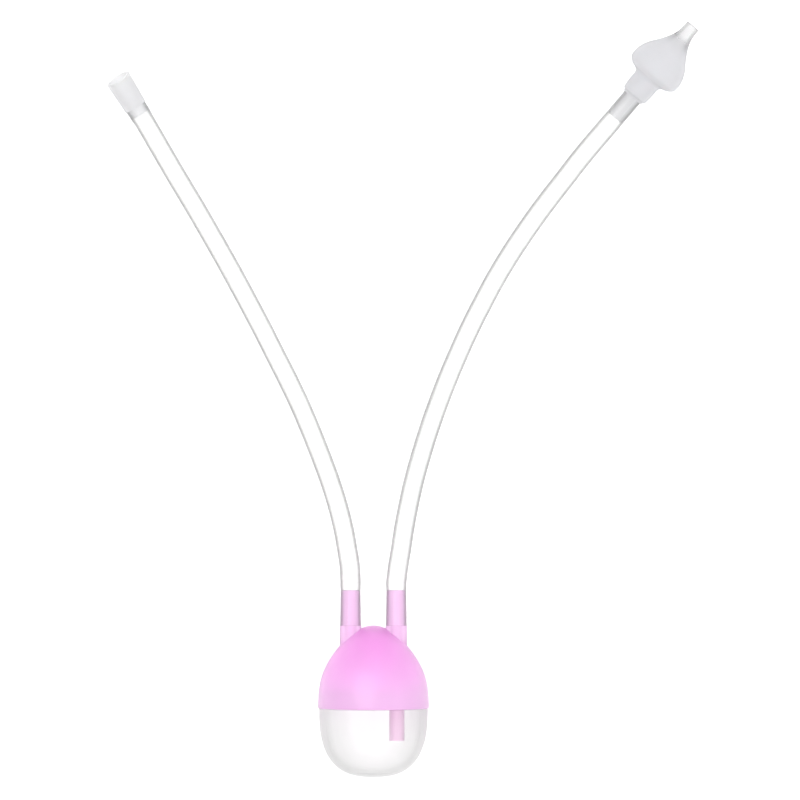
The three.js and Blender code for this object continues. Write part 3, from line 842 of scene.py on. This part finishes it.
# %% Seal ring
# A soft ring of rounded section in the neck's groove.
seal_middle = (SEAL_GROOVE_R + SKIRT_BORE_R) / 2
seal_w = (SKIRT_BORE_R - SEAL_GROOVE_R) / 2 - 0.1
seal_h = SEAL_GROOVE_H / 2 - 0.2
seal_corners = [
    (seal_middle - seal_w, SEAL_Y - seal_h), (seal_middle + seal_w, SEAL_Y - seal_h),
    (seal_middle + seal_w, SEAL_Y + seal_h), (seal_middle - seal_w, SEAL_Y + seal_h),
]
seal_bm = spun(in_mm(soft_section(seal_corners, 0.3)), 96, True)
seal = as_piece(seal_bm, "neck_seal", bottle_place, milky, crease_angle=60)
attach(seal, "seal")
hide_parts("seal_ring")

# %% [markdown]
# ## Nose end
#
# A frosted adapter has a stem in the hose, a collar that both hose and tip stop against, and
# a boss inside the neck of the tip. The tip is soft silicone, blown up into a bulb that keeps
# the thin spout from going too far in, and hollow all the way.

# %% Adapter
ADAPTER_COLLAR_R, ADAPTER_BOSS, ADAPTER_BOSS_R = 4.4, 8.6, 3.6
stem_end = -ADAPTER_COLLAR - ADAPTER_STEM
adapter_corners = [
    (SPIGOT_BORE_R, stem_end), (ADAPTER_STEM_R - 0.25, stem_end), (ADAPTER_STEM_R, stem_end + 1.2),
    (ADAPTER_STEM_R, -ADAPTER_COLLAR), (ADAPTER_COLLAR_R, -ADAPTER_COLLAR), (ADAPTER_COLLAR_R, 0),
    (ADAPTER_BOSS_R, 0), (ADAPTER_BOSS_R, ADAPTER_BOSS - 0.9), (ADAPTER_BOSS_R - 0.3, ADAPTER_BOSS),
    (SPIGOT_BORE_R, ADAPTER_BOSS),
]
adapter_bm = spun(in_mm(soft_section(adapter_corners, 0.15)), 64, True)
adapter = as_piece(adapter_bm, "tip_adapter", tip_place, frosted, crease_angle=40)
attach(adapter, "adapter")
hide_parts("nose_tip_adapter")

# %% Nose tip
TIP_LENGTH, TIP_RIM_R, TIP_RIM_BORE_R = 35.4, 2.75, 1.7
SPOUT_START = 24.0
TIP_OUTSIDE = [
    (5.3, 0.9), (5.55, 3.0), (5.6, 5.6), (5.62, 7.2), (6.2, 8.4), (8.9, 9.5), (10.6, 10.9),
    (BULB_R, BULB_AT), (10.95, 15.2), (10.2, 17.6), (8.9, 20.1), (7.1, 22.6), (5.4, 25.2),
    (3.85, 28.2), (3.05, 30.8), (2.8, 33), (TIP_RIM_R + 0.01, 34.8),
]
TIP_HOLLOW = [
    (TIP_RIM_BORE_R, 34.9), (1.8, 30.8), (2.3, 28.2), (3.5, 25.2), (5.1, 22.4), (6.9, 19.9), (8.5, 17.0),
    (9.2, 14.2), (8.7, 12.0), (6.4, 10.5), (ADAPTER_BOSS_R + FIT_GAP, 9.4),
]
tip_section = [
    *flat(curve_through(TIP_OUTSIDE, 3)),
    *rounded((TIP_RIM_R, 33.5), (TIP_RIM_R, TIP_LENGTH), (TIP_RIM_BORE_R, TIP_LENGTH), 0.4),
    *rounded((TIP_RIM_R, TIP_LENGTH), (TIP_RIM_BORE_R, TIP_LENGTH), (TIP_RIM_BORE_R, 33.5), 0.3),
    *flat(curve_through(TIP_HOLLOW, 3)),
    *rounded((ADAPTER_BOSS_R + FIT_GAP, 8), (ADAPTER_BOSS_R + FIT_GAP, FACE_GAP), (5.3, FACE_GAP), 0.3),
    *rounded((3.9, FACE_GAP), (5.25, FACE_GAP), (5.3, 1.2), 0.5),
]
tip_bm = spun(in_mm(tip_section), 96, True)
for face in tip_bm.faces:
    middle = face.calc_center_median()
    off_axis = Vector((middle.x, 0, middle.z))
    in_spout = middle.y > SPOUT_START * MM and face.normal.dot(off_axis) < 0
    face.material_index = 1 if in_spout else 0
tip = as_piece(tip_bm, "soft_tip", tip_place, milky, crease_angle=60)
tip.data.materials.append(milky_inside)
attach(tip, "nose_tip")
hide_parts("nose_tip")

# %% [markdown]
# ## Mouthpiece
#
# A short frosted tube that widens towards the lips, with a stem that holds it in the hose.
# The lip is cut at a slant, so that the opening turns up a little. It is spun too long and
# cut with a plane, and the two open rims are bridged again.

# %% Mouthpiece
MOUTH_LENGTH, MOUTH_ROOT_R, MOUTH_LIP_R, MOUTH_LIP_BORE_R = 13.0, 4.45, 5.0, 4.05
MOUTH_STEM_BORE_R, LIP_SLANT, OVERRUN = 2.1, 14.0, 3.0
mouth_outside = [
    (MOUTH_STEM_BORE_R + 0.3, -MOUTH_STEM),
    *rounded((2.4, -MOUTH_STEM), (MOUTH_STEM_R - 0.2, -MOUTH_STEM), (MOUTH_STEM_R, -2.6), 0.3),
    (MOUTH_STEM_R, 0),
    *rounded((MOUTH_STEM_R, 0), (MOUTH_ROOT_R, 0), (MOUTH_ROOT_R, 1.5), 0.15),
    (MOUTH_LIP_R, MOUTH_LENGTH), (MOUTH_LIP_R, MOUTH_LENGTH + OVERRUN),
]
mouth_inside = [
    (MOUTH_LIP_BORE_R, MOUTH_LENGTH + OVERRUN), (MOUTH_LIP_BORE_R, MOUTH_LENGTH),
    *flat(curve_through([(3.0, 3.0), (2.4, 1.6), (MOUTH_STEM_BORE_R, 0)], 4)),
    *rounded((MOUTH_STEM_BORE_R, 0), (MOUTH_STEM_BORE_R, -MOUTH_STEM), (2.6, -MOUTH_STEM), 0.2),
]
mouth_bm = spun(in_mm(mouth_outside + mouth_inside), 96, True)
slant = math.radians(LIP_SLANT)
bmesh.ops.bisect_plane(
    mouth_bm, geom=mouth_bm.verts[:] + mouth_bm.edges[:] + mouth_bm.faces[:], dist=1e-7,
    plane_co=(0, MOUTH_LENGTH * MM, 0), plane_no=(0, math.cos(slant), math.sin(slant)), clear_outer=True,
)
rims = [e for e in mouth_bm.edges if e.is_boundary]
bmesh.ops.bridge_loops(mouth_bm, edges=rims)
bmesh.ops.bevel(
    mouth_bm, geom=rims, offset=0.0003, offset_type="OFFSET", segments=3, profile=0.5,
    affect="EDGES", material=-1, clamp_overlap=True,
)
bmesh.ops.recalc_face_normals(mouth_bm, faces=mouth_bm.faces)
mouthpiece = as_piece(mouth_bm, "mouth_tube", mouth_place, lip_frosted, crease_angle=40)
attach(mouthpiece, "mouthpiece")
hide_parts("mouthpiece")
